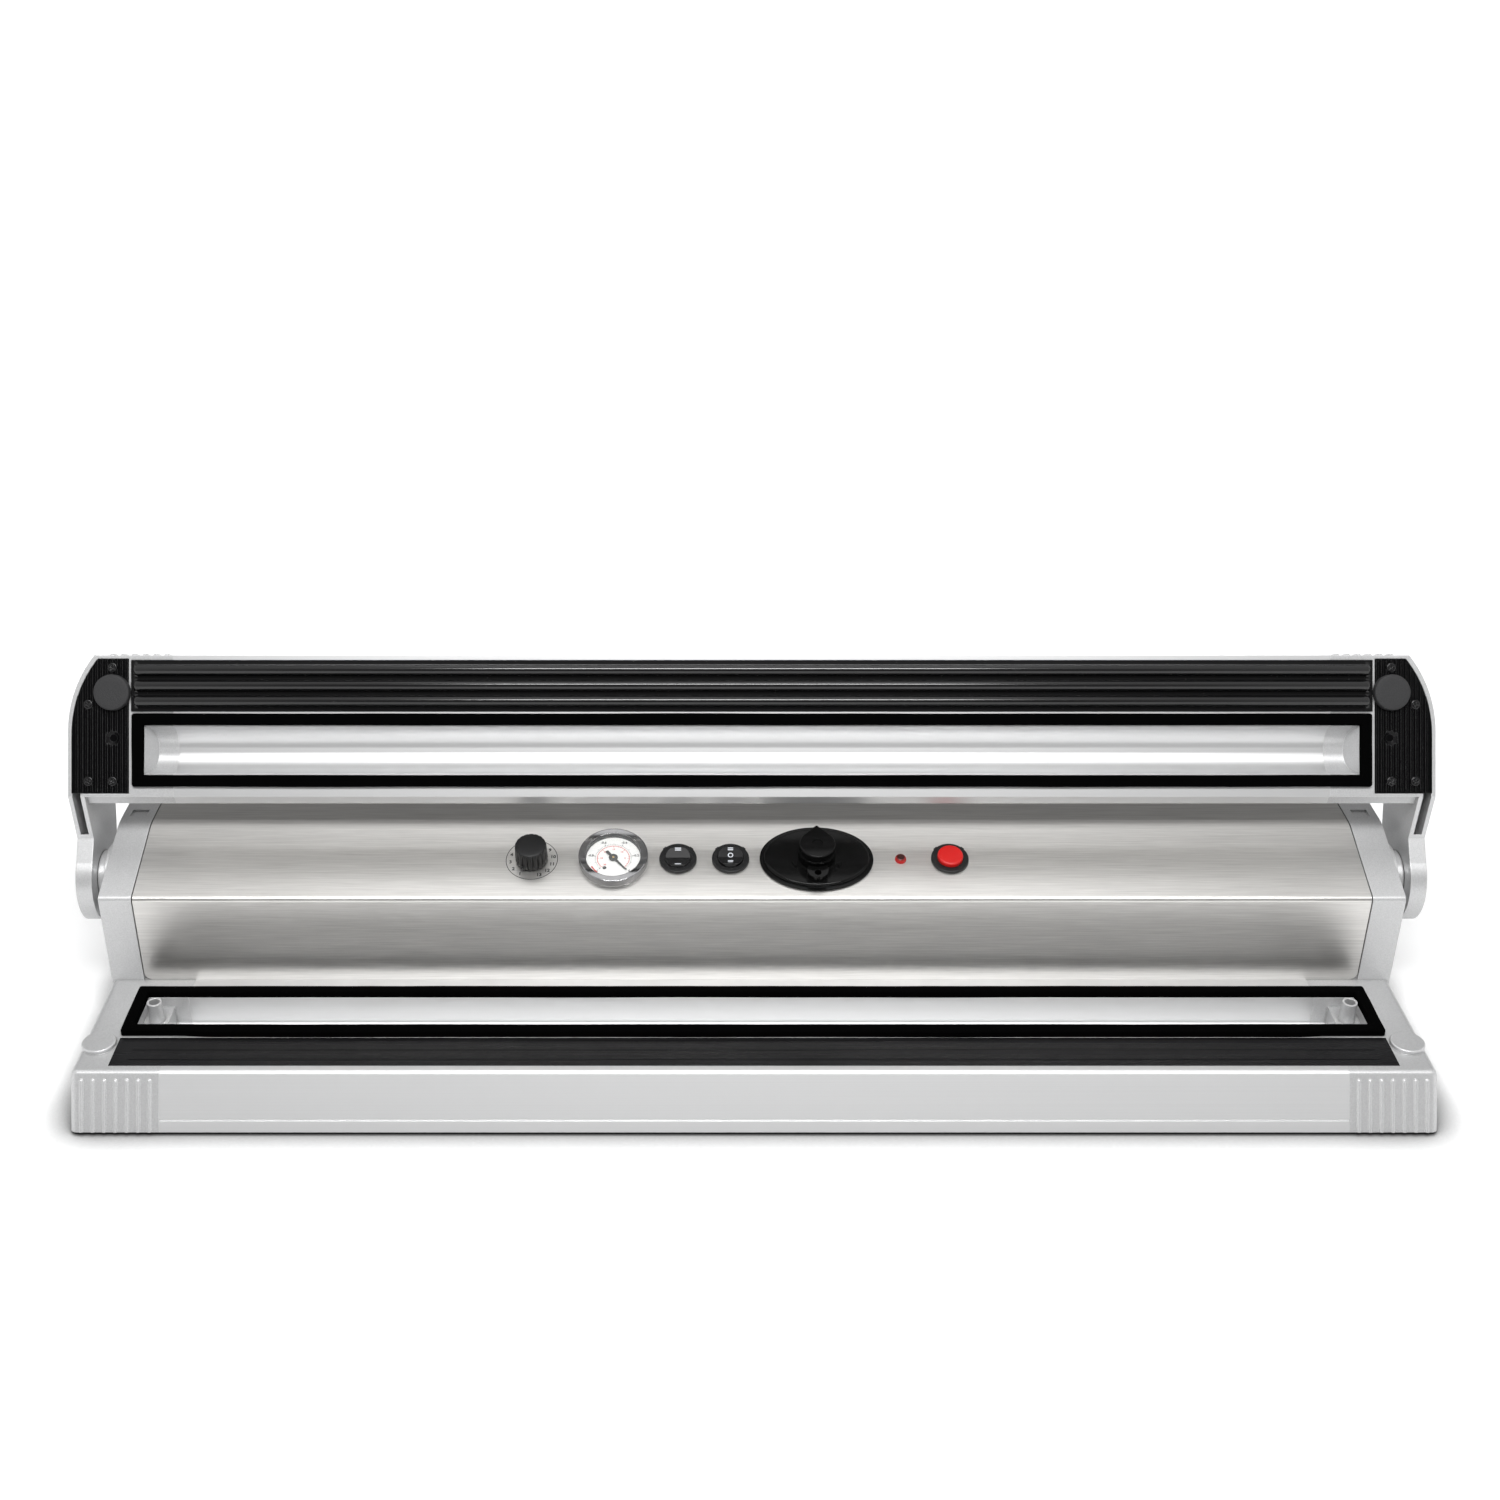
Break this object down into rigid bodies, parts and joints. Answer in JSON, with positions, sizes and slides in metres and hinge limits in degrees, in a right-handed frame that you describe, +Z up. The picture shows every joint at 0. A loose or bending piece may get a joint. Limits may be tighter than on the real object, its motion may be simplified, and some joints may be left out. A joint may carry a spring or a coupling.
{
  "type": "vacuum sealer",
  "caption": "Wide bar vacuum sealer with a hinged lid, gasketed vacuum channel, heated seal bar and a sloped steel control panel with gauge, timer dial, rockers, valve knob and start button",
  "frame": {"origin": "centre of the footprint on the table", "axes": "+X to the right seen from the front, +Y to the rear, +Z up"},
  "size_m": [0.83, 0.27, 0.2201],
  "materials": {
    "silver_plastic": "satin moulded",
    "satin_aluminium": "satin anodised",
    "brushed_steel": "brushed along the width",
    "zinc_steel": "zinc plated",
    "black_rubber": "matte",
    "black_foam": "matte closed cell",
    "black_silicone": "satin",
    "seal_tape": "glossy",
    "seal_backing": "matte",
    "seal_wire": "flat band",
    "black_plastic": "fine texture",
    "gloss_black": "glossy",
    "chrome_ring": "polished",
    "dark_metal": "painted",
    "white_dial": "matte printed",
    "needle_black": "matte",
    "clear_lens": "clear",
    "red_button": "glossy",
    "red_lamp": "translucent",
    "cast_pump": "cast",
    "board_green": "matte"
  },
  "bodies": {
    "base": {"front_rail": "satin_aluminium", "side_casing_left": "silver_plastic", "side_casing_right": "silver_plastic", "steel_housing": "brushed_steel", "rear_panel": "brushed_steel", "bottom_plate": "zinc_steel", "bottom_screws": "zinc_steel", "rear_screws": "zinc_steel", "rubber_feet": "black_rubber", "seal_wires": "seal_wire", "seal_carrier": "seal_backing", "seal_tape": "seal_tape", "base_gasket": "black_foam", "hinge_pins": "zinc_steel", "timer_pot": "dark_metal", "gauge_case": "dark_metal", "gauge_bezel": "chrome_ring", "gauge_works": "zinc_steel", "gauge_dial": "white_dial", "gauge_lens": "clear_lens", "mode_switch": "black_plastic", "source_switch": "black_plastic", "valve_plate": "gloss_black", "valve_core": "gloss_black", "lamp_lens": "red_lamp", "lamp_holder": "black_plastic", "start_switch": "black_plastic", "pump_crankcase": "cast_pump", "pump_heads": "cast_pump", "pump_motor": "dark_metal", "pump_bracket": "zinc_steel", "pump_mounts": "black_rubber", "transformer_core": "dark_metal", "transformer_coil": "seal_backing", "control_board": "board_green", "board_standoffs": "seal_backing", "vent_valve": "black_plastic", "vacuum_hoses": "black_rubber", "mains_inlet": "black_plastic"},
    "lid": {"lid_extrusion": "satin_aluminium", "lid_end_cap_left": "silver_plastic", "lid_end_cap_right": "silver_plastic", "lid_end_plate_left": "black_plastic", "lid_end_plate_right": "black_plastic", "lid_screws": "zinc_steel", "lid_pads": "black_rubber", "press_bar": "black_silicone", "lid_gasket": "black_foam", "hinge_bushes": "seal_backing", "stop_pins": "zinc_steel"},
    "timer": {"timer_knob": "black_plastic", "timer_shaft": "zinc_steel"},
    "needle": {"gauge_needle": "needle_black"},
    "mode_toggle": {"mode_rocker": "black_plastic"},
    "source_toggle": {"source_rocker": "black_plastic"},
    "valve": {"valve_knob": "gloss_black"},
    "start": {"start_button": "red_button"},
    "rotor": {"motor_rotor": "zinc_steel", "cooling_fan": "black_plastic"}
  },
  "joints": [
    {"name": "lid_hinge", "type": "hinge", "parent": "base", "child": "lid", "pos_m": [0, 0.01835, 0.08063], "axis": [1, 0, 0], "range_deg": [0, 118.5]},
    {"name": "timer_turn", "type": "hinge", "parent": "base", "child": "timer", "pos_m": [-0.135, 0.00311, 0.10193], "axis": [0, -0.3074, 0.9516], "range_deg": [-300, 0]},
    {"name": "needle_turn", "type": "hinge", "parent": "base", "child": "needle", "pos_m": [-0.0848, 0.00311, 0.10193], "axis": [0, -0.3074, 0.9516], "range_deg": [0, 270], "stiffness_Nm_per_rad": 0.0002},
    {"name": "mode_rock", "type": "hinge", "parent": "base", "child": "mode_toggle", "pos_m": [-0.045, 0.00342, 0.10098], "axis": [1, 0, 0], "range_deg": [-14, 0]},
    {"name": "source_rock", "type": "hinge", "parent": "base", "child": "source_toggle", "pos_m": [-0.0127, 0.00342, 0.10098], "axis": [1, 0, 0], "range_deg": [-9, 9]},
    {"name": "valve_turn", "type": "hinge", "parent": "base", "child": "valve", "pos_m": [0.0402, 0.00311, 0.10193], "axis": [0, -0.3074, 0.9516], "range_deg": [-105, 105]},
    {"name": "start_press", "type": "slide", "parent": "base", "child": "start", "axis": [0, 0.3074, -0.9516], "range_m": [0, 0.003], "stiffness_N_per_m": 300, "springref_m": -0.002},
    {"name": "rotor_spin", "type": "hinge", "parent": "base", "child": "rotor", "pos_m": [0.295, 0.066, 0.044], "axis": [1, 0, 0], "continuous": true}
  ]
}
